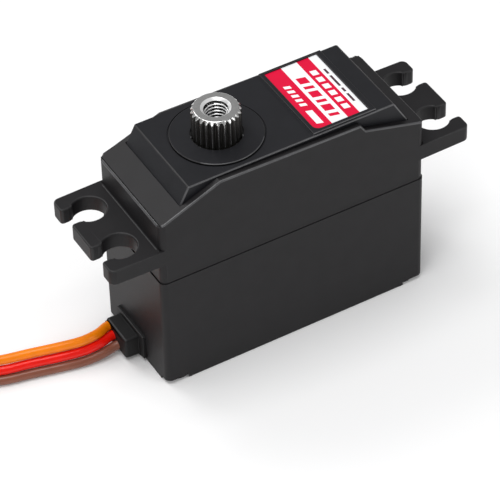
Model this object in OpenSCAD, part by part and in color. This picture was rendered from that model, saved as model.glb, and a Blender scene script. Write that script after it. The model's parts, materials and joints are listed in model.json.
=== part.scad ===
// Hobby servo motor: plastic case, geared drive on ball bearings and a three-wire lead.
// Units are millimetres. X runs along the case with the lead at -X, the plain front face
// is at -Y, and Z is up with the underside of the case at Z = 0.

/* [Case] */
// Length of the case between its end walls
case_l = 35.7; // [35.4:0.1:36]
// Width of the case
case_w = 14.6; // [14.6:0.1:14.8]
// Height of the top face of the raised cover
cover_top = 28.9; // [28.9:0.1:29.2]
// Radius of the upright corners of the case
corner_r = 0.8; // [0.5:0.1:1]
// Height of the seam between the two halves of the case
mid_seam = 16.4; // [16:0.1:16.4]
// Height of the seam between the lower case and the bottom cover
low_seam = 3; // [2.9:0.1:3.1]

/* [Mounting ears] */
// Length over the outer edges of both ears
ear_l = 48.6; // [48:0.1:50]
// Height of the top faces of the ears
ear_top = 21.6; // [21.4:0.1:22]
// Thickness of an ear
ear_t = 2.2; // [1.8:0.1:2.6]
// Distance between the two rows of holes, along X
hole_dx = 42.6; // [42.4:0.1:43]
// Distance between the two holes of one ear, along Y
hole_dy = 7.4; // [7.2:0.1:7.8]
// Radius of the round part of a keyhole
hole_r = 2.1; // [2:0.05:2.1]
// Width of the neck of a keyhole
neck_w = 2.6; // [2.4:0.1:2.6]

/* [Output] */
// Position of the output axis along X
out_x = -6; // [-6:0.1:-5.9]
// Outside radius of the 25-tooth spline
spline_r = 2.96; // [2.9:0.01:2.96]
// Height of the top of the spline
spline_top = 32.9; // [32:0.1:34]
// Core radius of the threaded hole in the spline
thread_r = 1.25; // [1.2:0.05:1.3]
// Angle shown, for a look at the gears in another place
turn = 0; // [-90:1:90]

/* [Gear teeth] */
// Teeth of the motor pinion
z_motor = 10; // [10]
// Teeth of the wheel and the pinion of the first gear
z_1 = [50, 10]; // [[50, 10]]
// Teeth of the wheel and the pinion of the second gear
z_2 = [45, 10]; // [[45, 10]]
// Teeth of the wheel and the pinion of the third gear
z_3 = [32, 10]; // [[32, 10]]
// Teeth of the output gear
z_out = 36; // [36]
// Clearance taken off each flank of a tooth
flank_gap = 0.03; // [0.02:0.005:0.04]

/* [Lead] */
// Outside diameter of one wire
wire_d = 1.2; // [1:0.1:1.2]
// Length of the bundle that holds the spare wire
hank_l = 34; // [33:1:36]
// Width of the bundle
hank_w = 15.6; // [14:0.2:15.6]

/* [Hidden] */
e = 0.01;
// case walls, and how far the lower half stands out past the upper one
wall = 1.15;
low_step = 0.1;
low_l = case_l + 2 * low_step;
low_w = case_w + 2 * low_step;
in_y = case_w / 2 - wall;
in_x = case_l / 2 - 1.35;
floor_t = 1.2;
// the four case screws, the same way in from every corner
screw_x = case_l / 2 - 2.1;
screw_y = case_w / 2 - 1.45;
screw_r = 0.7;
post_r = 1.6;
// the raised cover
plate_w = case_w - 1.76;
plate_foot = [-14.6, 16.05];
seat_z = 26;
// the gear deck and the four gear levels above it
deck = [18.2, 19.2];
lev_1 = [19.6, 20.5];
lev_2 = [20.8, 21.8];
lev_3 = [22.1, 23.3];
lev_4 = [23.6, 25.6];
pin_r = 0.5;
axle_d = 6.9;
motor_d = 6.2;
pin_x = out_x + axle_d;
motor_x = pin_x + motor_d;
stem_r = 1.25;
// height where the round journal of the output shaft ends and its spline starts
spline_foot = 28.6;
// the pinion of the second gear runs round the stem, so it has more teeth
z_2b = z_2[1] + 4;
// modules of the four meshes
m_1 = 2 * motor_d / (z_motor + z_1[0]);
m_2 = 2 * axle_d / (z_1[1] + z_2[0]);
m_3 = 2 * axle_d / (z_2b + z_3[0]);
m_4 = 2 * axle_d / (z_3[1] + z_out);
press_angle = 25;
// turn of each gear for the angle shown
turn_3 = -turn * z_out / z_3[1];
turn_2 = -turn_3 * z_3[0] / z_2b;
turn_1 = -turn_2 * z_2[0] / z_1[1];
turn_0 = -turn_1 * z_1[0] / z_motor;
// bearings: bore radius, outer radius, width, low face, ball radius, ball count
top_brg = [3, 5, 2.5, seat_z, 0.6, 11];
low_brg = [stem_r, 3, 2.6, 16.7, 0.45, 8];
// motor and potentiometer
can = [5.2, 18.2];
can_r = 6;
pot = [11.2, 16.2];
pot_r = 5;
board = [3.4, 4.4];
// label frame: low and high X, low and high Y
frame_x = [3.3, 11.8];
frame_y = [-6.25, 6.4];
label_x = [3.9, 11.05];
label_y = [-5.7, 6.05];
label_z = cover_top - 0.05;
// cable exit: outer face of the grommet, and the wires there and at its inner face
exit_x = -case_l / 2 - 2.35;
entry_x = -case_l / 2 + 2.1;
exit_yz = [[3, 2.6], [1.93, 1.95], [0.93, 1.1]];
entry_yz = [[2.3, 2.2], [0.95, 2.2], [-0.4, 2.2]];
// bundle of spare wire, its tie and the plug
hank_x = -57;
hank_y = 2.4;
hank_z = [0.3, 4.2];
tie_t = 0.3;
plug_x = [-94, -80];
plug_w = 7.7;
plug_h = 2.6;
plug_pitch = 2.54;
wire_sides = 8;

// ---------------------------------------------------------------- shared shapes

// rectangle with round corners, centred
module round_rect(l, w, r) {
    square([l - 2 * r, w], center = true);
    square([l, w - 2 * r], center = true);
    for (sx = [-1, 1], sy = [-1, 1])
        translate([sx * (l / 2 - r), sy * (w / 2 - r)])
            circle(r, $fn = 48);
}

// upright block with round corners between two heights
module round_block(l, w, r, z) {
    translate([0, 0, z[0]])
        linear_extrude(z[1] - z[0])
            round_rect(l, w, r);
}

// block given by its low and high values along X, Y and Z
module span(x, y, z) {
    translate([x[0], y[0], z[0]])
        cube([x[1] - x[0], y[1] - y[0], z[1] - z[0]]);
}

// outline in X and Z, run along Y
module side_cut(points, w) {
    rotate([90, 0, 0])
        linear_extrude(w, center = true)
            polygon(points);
}

// upright cylinder between two heights
module rod(x, y, r, z) {
    translate([x, y, z[0]])
        cylinder(h = z[1] - z[0], r = r, $fn = 64);
}

// upright tube between two heights
module tube(x, y, r_out, r_in, z) {
    difference() {
        rod(x, y, r_out, z);
        rod(x, y, r_in, [z[0] - 1, z[1] + 1]);
    }
}

// copies of a part at the four screw positions
module at_screws() {
    for (sx = [-1, 1], sy = [-1, 1])
        translate([sx * screw_x, sy * screw_y, 0])
            children();
}

// involute angle in degrees
function inv(a) = tan(a) * 180 / PI - a;

// half width of a tooth in degrees at a radius, with the flank clearance taken off
function half_tooth(z, m, r) =
    90 / z + inv(press_angle) - inv(acos(min(1, m * z / 2 * cos(press_angle) / r)))
    - flank_gap / r * 180 / PI;

// gear outline with a tooth on +X, and a stub tooth height for small pinions
function gear_points(z, m) =
    let (
        base = m * z / 2 * cos(press_angle),
        tip = m * (z / 2 + 0.9),
        root = m * (z / 2 - 1.15),
        low = max(base, root + 0.1 * m),
        mid = m * z / 2
    )
    [for (k = [0:z - 1], p = [
            [root, -1], [low, -1], [mid, -1], [tip, -1],
            [tip, 1], [mid, 1], [low, 1], [root, 1]
        ])
        let (a = 360 * k / z + p[1] * half_tooth(z, m, max(p[0], low)))
        [p[0] * cos(a), p[0] * sin(a)]
    ];

// gear blank between two heights
module gear_solid(z, m, span_z) {
    translate([0, 0, span_z[0]])
        linear_extrude(span_z[1] - span_z[0])
            polygon(gear_points(z, m));
}

// toothed wheel pressed over the teeth of its own pinion
module wheel_ring(z, m, pinion_z, pinion_m, phase, span_z) {
    difference() {
        rotate([0, 0, phase])
            gear_solid(z, m, span_z);
        gear_solid(pinion_z, pinion_m, [span_z[0] - 1, span_z[1] + 1]);
    }
}

// pinion with a flat-sided bore whose flats stand clear of a round axle
module bored_pinion(z, m, axle_r, gap, span_z) {
    difference() {
        gear_solid(z, m, span_z);
        translate([0, 0, span_z[0] - 1])
            cylinder(h = span_z[1] - span_z[0] + 2, r = (axle_r + gap) / cos(15), $fn = 12);
    }
}

// ring of a ball bearing with its raceway
module race(b, r_out, r_in) {
    difference() {
        tube(0, 0, r_out, r_in, [b[3], b[3] + b[2]]);
        translate([0, 0, b[3] + b[2] / 2])
            rotate_extrude($fn = 64)
                translate([(b[0] + b[1]) / 2, 0])
                    circle(b[4] + 0.03, $fn = 32);
    }
}

// balls of a bearing
module ball_set(b) {
    for (k = [0:b[5] - 1])
        rotate([0, 0, 360 * k / b[5]])
            translate([(b[0] + b[1]) / 2, 0, b[3] + b[2] / 2])
                sphere(b[4], $fn = 24);
}

// round wire swept along route points, closed at both ends
function unit(v) = v / norm(v);
function route_dir(p, i) = unit(p[min(len(p) - 1, i + 1)] - p[max(0, i - 1)]);
function ring_points(p, i, r) =
    let (
        t = route_dir(p, i),
        side = unit(cross(t, abs(t[2]) > 0.9 ? [0, 1, 0] : [0, 0, 1])),
        up = cross(side, t)
    )
    [for (k = [0:wire_sides - 1])
        let (a = 360 * (k + 0.5) / wire_sides)
        p[i] + r * cos(a) * side + r * sin(a) * up
    ];

module wire(p, r) {
    n = wire_sides;
    last = (len(p) - 1) * n;
    sides = [
        for (i = [0:len(p) - 2], k = [0:n - 1])
            [i * n + k, i * n + (k + 1) % n, (i + 1) * n + (k + 1) % n, (i + 1) * n + k]
    ];
    halves = [for (f = sides, t = [[0, 1, 2], [0, 2, 3]]) [for (j = t) f[j]]];
    polyhedron(
        points = [for (i = [0:len(p) - 1]) each ring_points(p, i, r)],
        faces = concat(
            [[for (k = [n - 1:-1:0]) k]],
            halves,
            [[for (k = [0:n - 1]) last + k]]
        )
    );
}

// route of one wire: up to the board, through the grommet, over the floor to the bundle
function lead_route(i, far) = concat(
    [
        [entry_x + 3, entry_yz[i][0], board[0]],
        [entry_x + 3, entry_yz[i][0], board[0] - 0.4],
        [entry_x + 2.7, entry_yz[i][0], entry_yz[i][1] + 0.3],
        [entry_x + 2, entry_yz[i][0], entry_yz[i][1]]
    ],
    [
        [entry_x, entry_yz[i][0], entry_yz[i][1]],
        [exit_x, exit_yz[i][0], exit_yz[i][1]]
    ],
    far
);

// ---------------------------------------------------------------- case

// the outside of the upper case as seen from the front
shoulder = [
    [-case_l, mid_seam - 1], [-case_l, 25.3 - (case_l / 2) * 0.4224],
    [-case_l / 2, 25.3], [-9.7, 28.7], [9.1, 28.4], [9.8, 27.4],
    [case_l / 2, 25.15], [case_l, 20.1], [case_l, mid_seam - 1]
];

module keyhole(sx, sy) {
    translate([sx * hole_dx / 2, sy * hole_dy / 2, ear_top - ear_t - 1]) {
        cylinder(h = ear_t + 2, r = hole_r, $fn = 64);
        translate([sx > 0 ? 0 : -ear_l / 2, -neck_w / 2, 0])
            cube([ear_l / 2, neck_w, ear_t + 2]);
    }
}

module upper_case() {
    color([0.2, 0.2, 0.21])
    difference() {
        union() {
            difference() {
                intersection() {
                    round_block(case_l, case_w, corner_r, [mid_seam, cover_top]);
                    side_cut(shoulder, case_w + 1);
                }
                // gear chamber, with a lower roof behind the sloping shoulder
                span([-in_x, 15.7], [-in_y, in_y], [deck[1], 24]);
                span([-14.1, 15.7], [-in_y, in_y], [deck[1], 24.9]);
                span([-14.1, 14.9], [-in_y, in_y], [deck[1], seat_z + 1]);
                // room over the motor and the potentiometer
                span([-in_x, in_x], [-in_y, in_y], [mid_seam - 1, deck[0]]);
                // seat of the raised cover
                span([plate_foot[0] - 0.05, plate_foot[1] + 0.05],
                    [-plate_w / 2 - 0.08, plate_w / 2 + 0.08], [seat_z, cover_top + 1]);
                span([14.85, plate_foot[1] + 0.05],
                    [-plate_w / 2 - 0.08, plate_w / 2 + 0.08], [24.9, cover_top + 1]);
            }
            // ears
            difference() {
                round_block(ear_l, case_w, corner_r, [ear_top - ear_t, ear_top]);
                span([-case_l / 2 + 0.6, case_l / 2 - 0.6], [-in_y, in_y],
                    [ear_top - ear_t - 1, ear_top + 1]);
            }
            // screw posts, cut to the outline of the case
            intersection() {
                at_screws() rod(0, 0, post_r, [mid_seam, 22]);
                round_block(case_l, case_w, corner_r, [mid_seam, cover_top]);
            }
            // housing of the lower bearing under the deck
            rod(out_x, 0, 4, [pot[1], deck[1]]);
        }
        rod(out_x, 0, low_brg[1], [low_brg[3], deck[1] + 1]);
        rod(out_x, 0, 2.3, [pot[1] - 1, deck[1] + 1]);
        rod(pin_x, 0, pin_r, [deck[0] - 1, deck[1] + 1]);
        rod(motor_x, 0, 2, [deck[0] - 1, deck[1] + 1]);
        at_screws() rod(0, 0, screw_r, [mid_seam - 1, 21]);
        for (sx = [-1, 1], sy = [-1, 1]) keyhole(sx, sy);
    }
}

module lower_case() {
    color([0.2, 0.2, 0.21])
    difference() {
        union() {
            difference() {
                round_block(low_l, low_w, corner_r, [low_seam, mid_seam]);
                span([-in_x, in_x], [-in_y, in_y], [low_seam - 1, mid_seam + 1]);
            }
            intersection() {
                at_screws() rod(0, 0, post_r, [low_seam, mid_seam]);
                round_block(low_l, low_w, corner_r, [low_seam, mid_seam]);
            }
            // rails that hold the board down
            for (sy = [-1, 1])
                span([-9, 9], sy > 0 ? [in_y - 0.6, in_y + 0.2] : [-in_y - 0.2, 0.6 - in_y],
                    [board[1], board[1] + 0.6]);
        }
        at_screws() rod(0, 0, screw_r + 0.1, [low_seam - 1, mid_seam + 1]);
        // slot for the grommet
        span([-case_l, -in_x + 0.5], [-1.3, 3.1], [low_seam - 1, 3.5]);
    }
}

module bottom_cover() {
    color([0.2, 0.2, 0.21])
    difference() {
        union() {
            difference() {
                round_block(low_l, low_w, corner_r, [0, low_seam]);
                span([-in_x, in_x], [-in_y, in_y], [floor_t, low_seam + 1]);
            }
            intersection() {
                at_screws() rod(0, 0, post_r, [0.9, low_seam]);
                round_block(case_l, case_w, corner_r, [0.9, low_seam]);
            }
            // posts that carry the board
            for (sx = [-1, 1], sy = [-1, 1]) rod(sx * 11, sy * 4.9, 0.6, [floor_t - e, board[0]]);
        }
        at_screws() {
            rod(0, 0, screw_r + 0.1, [-1, low_seam + 1]);
            rod(0, 0, 1.4, [-1, 0.8]);
            rod(0, 0, 1.7, [-1, 0.6]);
        }
        // the corners are cut back to the screws
        for (sx = [-1, 1], sy = [-1, 1])
            translate([sx * (screw_x + 2), sy * (screw_y + 1.5), 0])
                cube([4, 3, 1.2], center = true);
        // slot for the grommet
        span([-case_l, -in_x + 0.5], [-1.3, 3.1], [1, low_seam + 1]);
    }
}

module case_screws() {
    color([0.45, 0.45, 0.47])
    at_screws()
        difference() {
            union() {
                rod(0, 0, 1.25, [0.1, 0.8]);
                rod(0, 0, screw_r, [0.8, 20.8]);
            }
            span([-0.8, 0.8], [-0.15, 0.15], [0, 0.5]);
            span([-0.15, 0.15], [-0.8, 0.8], [0, 0.5]);
        }
}

module top_cover() {
    color([0.17, 0.17, 0.18])
    difference() {
        union() {
            difference() {
                side_cut([
                    [plate_foot[0], seat_z], [plate_foot[0], 26.6], [-13.4, cover_top],
                    [14.15, cover_top], [plate_foot[1], 25.65], [plate_foot[1], 24.9],
                    [14.9, 24.9], [14.9, seat_z]
                ], plate_w);
                span([-12.8, 14], [-5.5, 5.5], [seat_z - 1, 27.3]);
            }
            // boss over the bearing and the end of the gear pin
            rod(out_x, 0, 5.9, [seat_z, 27.4]);
            rod(pin_x, 0, 1.3, [seat_z, 27.4]);
            rod(out_x, 0, 5.6, [cover_top - e, cover_top + 0.18]);
            // raised frame of the label, one corner rounded
            translate([0, 0, cover_top - e])
                linear_extrude(0.27 + e)
                    difference() {
                        translate([frame_x[0], frame_y[0]])
                            square([frame_x[1] - frame_x[0], frame_y[1] - frame_y[0]]);
                        label_outline();
                    }
        }
        // groove round the raised disc
        tube(out_x, 0, 5.8, 5.6, [cover_top - 0.12, cover_top + 1]);
        rod(out_x, 0, top_brg[1], [seat_z - 1, seat_z + top_brg[2]]);
        rod(out_x, 0, 3.1, [seat_z, cover_top + 1]);
        rod(pin_x, 0, pin_r, [seat_z - 1, 28]);
        // shallow pocket of the label
        translate([0, 0, label_z])
            linear_extrude(1)
                label_outline();
    }
}

module label_outline() {
    r = 0.8;
    translate([label_x[0] + r, label_y[0]])
        square([label_x[1] - label_x[0] - r, label_y[1] - label_y[0]]);
    translate([label_x[0], label_y[0] + r])
        square([label_x[1] - label_x[0], label_y[1] - label_y[0] - r]);
    translate([label_x[0] + r, label_y[0] + r])
        circle(r, $fn = 48);
}

module label() {
    color([0.88, 0.06, 0.24])
    translate([0, 0, label_z])
        linear_extrude(0.12)
            label_outline();
}

module cable_grommet() {
    face_x = -low_l / 2;
    color([0.08, 0.08, 0.08])
    difference() {
        union() {
            span([exit_x, face_x], [-1.2, 3.7], [0.4, 3.35]);
            span([exit_x + 1.8, face_x], [-2.3, 4.1], [0.5, 4]);
            span([face_x - e, -in_x], [-1.3, 3.1], [1, 3.5]);
            span([-in_x, entry_x], [-1.9, 3.7], [floor_t, 3.3]);
        }
        for (i = [0:2]) {
            a = [exit_x, exit_yz[i][0], exit_yz[i][1]];
            d = [entry_x, entry_yz[i][0], entry_yz[i][1]] - a;
            translate(a - 0.1 * d)
                rotate([0, acos(d[2] / norm(d)), atan2(d[1], d[0])])
                    cylinder(h = 1.2 * norm(d), r = wire_d / 2, $fn = 32);
        }
    }
}

// ---------------------------------------------------------------- output

// outline of the 25-tooth spline
function spline_points() = [
    for (k = [0:24], p = [[2.72, -5.4], [spline_r, -1.6], [spline_r, 1.6], [2.72, 5.4]])
        let (a = 14.4 * k + p[1])
        [p[0] * cos(a), p[0] * sin(a)]
];

module output_shaft() {
    color([0.78, 0.78, 0.77])
    translate([out_x, 0, 0])
    rotate([0, 0, turn])
    difference() {
        union() {
            // splined end with a chamfer
            intersection() {
                translate([0, 0, spline_foot])
                    linear_extrude(spline_top - spline_foot)
                        polygon(spline_points());
                rotate_extrude($fn = 64)
                    polygon([
                        [0, 28], [3.2, 28], [3.2, spline_top - 0.41],
                        [spline_r - 0.16, spline_top], [0, spline_top]
                    ]);
            }
            rod(0, 0, 3, [seat_z - 0.3, spline_foot]);
            rod(0, 0, 3.4, [lev_4[1], seat_z]);
            // six-sided seat of the output gear
            translate([0, 0, lev_4[0]])
                cylinder(h = lev_4[1] - lev_4[0] + 0.1, r = 2.7, $fn = 6);
            rod(0, 0, stem_r, [16.4, lev_4[0] + 0.1]);
        }
        // threaded hole with a lead-in
        rod(0, 0, thread_r, [27.4, spline_top + 1]);
        translate([0, 0, spline_top - 0.35])
            cylinder(h = 0.36, r1 = thread_r, r2 = thread_r + 0.36, $fn = 64);
        // hole for the shaft of the potentiometer
        rod(0, 0, 0.75, [16, 19]);
    }
}

module output_gear() {
    color([0.83, 0.68, 0.36])
    translate([out_x, 0, 0])
    rotate([0, 0, turn])
    difference() {
        rotate([0, 0, 180 / z_out])
            gear_solid(z_out, m_4, lev_4);
        translate([0, 0, lev_4[0] - 1])
            cylinder(h = 4, r = 2.7, $fn = 6);
    }
}

module upper_bearing_outer() {
    color([0.75, 0.76, 0.78])
    translate([out_x, 0, 0])
        race(top_brg, top_brg[1], 4.25);
}

module upper_bearing_inner() {
    color([0.75, 0.76, 0.78])
    translate([out_x, 0, 0])
    rotate([0, 0, turn])
        race(top_brg, 3.75, top_brg[0]);
}

module upper_bearing_balls() {
    color([0.85, 0.85, 0.86])
    translate([out_x, 0, 0])
        ball_set(top_brg);
}

module lower_bearing_outer() {
    color([0.75, 0.76, 0.78])
    translate([out_x, 0, 0])
        race(low_brg, low_brg[1], 2.35);
}

module lower_bearing_inner() {
    color([0.75, 0.76, 0.78])
    translate([out_x, 0, 0])
    rotate([0, 0, turn])
        race(low_brg, 1.9, low_brg[0]);
}

module lower_bearing_balls() {
    color([0.85, 0.85, 0.86])
    translate([out_x, 0, 0])
        ball_set(low_brg);
}

// ---------------------------------------------------------------- gears

module gear_pin() {
    color([0.72, 0.73, 0.75])
    rod(pin_x, 0, pin_r, [deck[0], 28]);
}

module motor_pinion() {
    color([0.83, 0.68, 0.36])
    translate([motor_x, 0, 0])
    rotate([0, 0, turn_0])
        bored_pinion(z_motor, m_1, pin_r, 0, [lev_1[0], lev_1[1] + 0.1]);
}

module gear_1_wheel() {
    color([0.83, 0.68, 0.36])
    translate([pin_x, 0, 0])
    rotate([0, 0, turn_1])
        wheel_ring(z_1[0], m_1, z_1[1], m_2, 180 / z_1[0], lev_1);
}

module gear_1_pinion() {
    color([0.8, 0.8, 0.8])
    translate([pin_x, 0, 0])
    rotate([0, 0, turn_1])
        bored_pinion(z_1[1], m_2, pin_r, 0.02, [lev_1[0], lev_2[1] + 0.05]);
}

module gear_2_wheel() {
    color([0.83, 0.68, 0.36])
    translate([out_x, 0, 0])
    rotate([0, 0, turn_2])
        wheel_ring(z_2[0], m_2, z_2b, m_3, 180 / z_2[0], lev_2);
}

module gear_2_pinion() {
    color([0.8, 0.8, 0.8])
    translate([out_x, 0, 0])
    rotate([0, 0, turn_2])
        bored_pinion(z_2b, m_3, stem_r, 0.03, [lev_2[0], lev_3[1]]);
}

module gear_3_wheel() {
    color([0.83, 0.68, 0.36])
    translate([pin_x, 0, 0])
    rotate([0, 0, turn_3])
        wheel_ring(z_3[0], m_3, z_3[1], m_4, 180 / z_3[0], lev_3);
}

module gear_3_pinion() {
    color([0.8, 0.8, 0.8])
    translate([pin_x, 0, 0])
    rotate([0, 0, turn_3])
        bored_pinion(z_3[1], m_4, pin_r, 0.02, [lev_3[0], lev_4[1] + 0.05]);
}

// ---------------------------------------------------------------- motor

module motor_can() {
    color([0.7, 0.7, 0.72])
    difference() {
        rod(motor_x, 0, can_r, can);
        rod(motor_x, 0, can_r - 0.5, [can[0] - 1, can[1] - 0.7]);
        rod(motor_x, 0, 1.4, [can[0], can[1] + 1]);
    }
}

module motor_end_cap() {
    color([0.9, 0.9, 0.86])
    difference() {
        rod(motor_x, 0, can_r - 0.5, [can[0], can[0] + 1]);
        rod(motor_x, 0, 1.4, [can[0] - 1, can[0] + 2]);
        for (sy = [-1, 1])
            span([motor_x - 0.6, motor_x + 0.6], [sy * 3.6 - 0.2, sy * 3.6 + 0.2],
                [can[0] - 1, can[0] + 2]);
    }
}

module motor_bushes() {
    color([0.7, 0.5, 0.3])
    union() {
        tube(motor_x, 0, 1.4, pin_r + 0.02, [can[1] - 0.7, can[1] + 0.9]);
        tube(motor_x, 0, 1.4, pin_r + 0.02, [can[0], can[0] + 1]);
    }
}

module motor_magnets() {
    color([0.25, 0.25, 0.27])
    difference() {
        tube(motor_x, 0, can_r - 0.52, 4.3, [8, 16.6]);
        span([motor_x - 1.2, motor_x + 1.2], [-7, 7], [7, 18]);
    }
}

module motor_shaft() {
    color([0.72, 0.73, 0.75])
    rod(motor_x, 0, pin_r, [can[0] + 0.1, lev_1[1] + 0.1]);
}

module armature_core() {
    color([0.5, 0.5, 0.52])
    translate([motor_x, 0, 9])
    rotate([0, 0, turn_0])
        linear_extrude(6.6)
            difference() {
                union() {
                    circle(1.4, $fn = 48);
                    for (k = [0:2])
                        rotate(120 * k) {
                            translate([0.5, -0.5])
                                square([3, 1]);
                            intersection() {
                                difference() {
                                    circle(4, $fn = 64);
                                    circle(3.3, $fn = 64);
                                }
                                polygon([[0, 0], [6, -6], [6, 6]]);
                            }
                        }
                }
                circle(pin_r, $fn = 48);
            }
}

module armature_coils() {
    color([0.72, 0.36, 0.16])
    translate([motor_x, 0, 9.1])
    rotate([0, 0, turn_0])
        for (k = [0:2])
            rotate([0, 0, 120 * k])
                for (s = [-1, 1])
                    translate([1.6, s > 0 ? 0.5 : -1.2, 0])
                        cube([1.4, 0.7, 6.4]);
}

module commutator() {
    color([0.78, 0.5, 0.25])
    translate([motor_x, 0, 0])
    rotate([0, 0, turn_0])
        difference() {
            tube(0, 0, 1.2, pin_r, [6.6, 8.6]);
            for (k = [0:2])
                rotate([0, 0, 120 * k])
                    span([0.8, 2], [-0.1, 0.1], [6, 9]);
        }
}

module brushes() {
    color([0.75, 0.6, 0.35])
    for (s = [-1, 1])
        span([motor_x - 2.6, motor_x + 2.6],
            s > 0 ? [1.23, 1.43] : [-1.43, -1.23], [7.1, 8.1]);
}

module motor_terminals() {
    color([0.78, 0.78, 0.78])
    for (sy = [-1, 1])
        span([motor_x - 0.6, motor_x + 0.6], [sy * 3.6 - 0.2, sy * 3.6 + 0.2],
            [board[1], can[0] + 1.6]);
}

// ---------------------------------------------------------------- electronics

module pot_body() {
    color([0.2, 0.3, 0.25])
    difference() {
        rod(out_x, 0, pot_r, pot);
        rod(out_x, 0, pot_r - 0.7, [pot[0] + 0.7, pot[1] - 0.8]);
        rod(out_x, 0, 0.8, [pot[0] + 1, pot[1] + 1]);
    }
}

module pot_shaft() {
    color([0.85, 0.83, 0.75])
    translate([out_x, 0, 0])
    rotate([0, 0, turn])
    union() {
        rod(0, 0, 0.75, [pot[0] + 1, 19]);
        rod(0, 0, 1.8, [13.2, 14.2]);
    }
}

module pot_wiper() {
    color([0.8, 0.65, 0.35])
    translate([out_x, 0, 0])
    rotate([0, 0, turn])
        union() {
            span([1, 3.9], [-0.5, 0.5], [13, 13.2]);
            span([3.2, 3.9], [-0.5, 0.5], [12.15, 13.1]);
        }
}

module pot_element() {
    color([0.12, 0.12, 0.12])
    difference() {
        tube(out_x, 0, 4.1, 2.9, [pot[0] + 0.7, 12.1]);
        translate([out_x - 6, -0.9, 11])
            cube([5, 1.8, 3]);
    }
}

module pot_terminals() {
    color([0.78, 0.78, 0.78])
    for (k = [-1:1])
        span([out_x + 2.5 * k - 0.3, out_x + 2.5 * k + 0.3], [3.6, 3.9], [board[1], pot[0]]);
}

module circuit_board() {
    color([0.1, 0.35, 0.2])
    span([-13.4, 13.4], [-5.4, 5.4], board);
}

module microcontroller() {
    color([0.1, 0.1, 0.1])
    span([-2, 3], [-2.5, 2.5], [board[0] - 0.9, board[0]]);
}

module motor_driver() {
    color([0.1, 0.1, 0.1])
    span([6, 10], [-2, 2], [board[0] - 0.9, board[0]]);
}

module small_capacitors() {
    color([0.65, 0.55, 0.4])
    for (p = [[-7, -2], [-7, 2], [4.5, 3.6], [4.5, -3.6], [0, 4], [0, -4]])
        span([p[0] - 0.5, p[0] + 0.5], [p[1] - 0.25, p[1] + 0.25], [board[0] - 0.5, board[0]]);
}

module supply_capacitor() {
    color([0.25, 0.28, 0.35])
    rod(out_x, -1.5, 2, [board[1], 9.8]);
}

// ---------------------------------------------------------------- lead

// floor part of each wire, from the grommet to the bundle
signal_far = [
    [-22, 2.35, 2.74], [-24.2, 2.22, 2.73], [-26.9, 2.74, 2.72], [-30.44, 3.63, 2.72],
    [-34.2, 4.52, 2.74], [-37.5, 5.75, 2.95], [-41, 7.5, 3.3], [-44.4, 9, 3.52]
];
power_far = [
    [-22.2, 1.6, 1.76], [-24.3, 1.6, 1.68], [-27.07, 2.13, 1.67], [-30.67, 3.03, 1.67],
    [-34.4, 3.9, 1.68], [-37.5, 5.3, 1.83], [-41, 7.3, 2.08], [-44.4, 9, 2.24]
];
ground_far = [
    [-22.3, 0.8, 0.84], [-24.5, 0.97, 0.62], [-27.25, 1.52, 0.62], [-30.9, 2.43, 0.62],
    [-34.6, 3.3, 0.65], [-37.6, 4.75, 0.75], [-41, 7.15, 0.86], [-44.4, 9, 0.94]
];

module lead_wire(i, far) {
    wire(lead_route(i, far), wire_d / 2 - 0.01);
    // tail over the end of the bundle and down to the plug
    y = hank_y + plug_pitch * (1 - i);
    wire([
        [hank_x - 7, y, 3.4], [hank_x - 9, y, 4.2], [hank_x - 11, y, 4.75],
        [hank_x - 14, y, 4.84], [hank_x - 16.6, y, 4.65], [hank_x - 18.2, y, 3.95],
        [hank_x - 19.6, y, 2.8], [hank_x - 21, y, 1.8],
        [plug_x[1] + 1, y, plug_h / 2], [plug_x[1], y, plug_h / 2]
    ], wire_d / 2 - 0.01);
}

module signal_wire() {
    color([0.93, 0.45, 0.05])
    lead_wire(0, signal_far);
}

module power_wire() {
    color([0.75, 0.04, 0.06])
    lead_wire(1, power_far);
}

module ground_wire() {
    color([0.25, 0.12, 0.08])
    lead_wire(2, ground_far);
}

module wire_hank() {
    color([0.75, 0.04, 0.06])
    translate([hank_x, hank_y, 0])
        round_block(hank_l, hank_w, hank_w / 2 - e, hank_z);
}

module hank_tie() {
    color([0.12, 0.12, 0.12])
    difference() {
        span([hank_x - 1.5, hank_x + 1.5],
            [hank_y - hank_w / 2 - tie_t, hank_y + hank_w / 2 + tie_t],
            [hank_z[0] - tie_t, hank_z[1] + tie_t]);
        span([hank_x - 2, hank_x + 2],
            [hank_y - hank_w / 2, hank_y + hank_w / 2], hank_z);
    }
}

module plug_housing() {
    color([0.1, 0.1, 0.1])
    difference() {
        span(plug_x, [hank_y - plug_w / 2, hank_y + plug_w / 2], [0, plug_h]);
        for (k = [-1:1])
            span([plug_x[0] - 1, plug_x[1] - 3],
                [hank_y + plug_pitch * k - 0.9, hank_y + plug_pitch * k + 0.9], [0.5, 2.1]);
    }
}

module plug_contacts() {
    color([0.85, 0.68, 0.3])
    for (k = [-1:1])
        translate([0, hank_y + plug_pitch * k, 0])
            difference() {
                span([plug_x[0] + 1, plug_x[1] - 3.2], [-0.8, 0.8], [0.6, 2]);
                span([plug_x[0], plug_x[1] - 4.4], [-0.5, 0.5], [0.9, 1.7]);
            }
}

// ---------------------------------------------------------------- nodes

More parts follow.
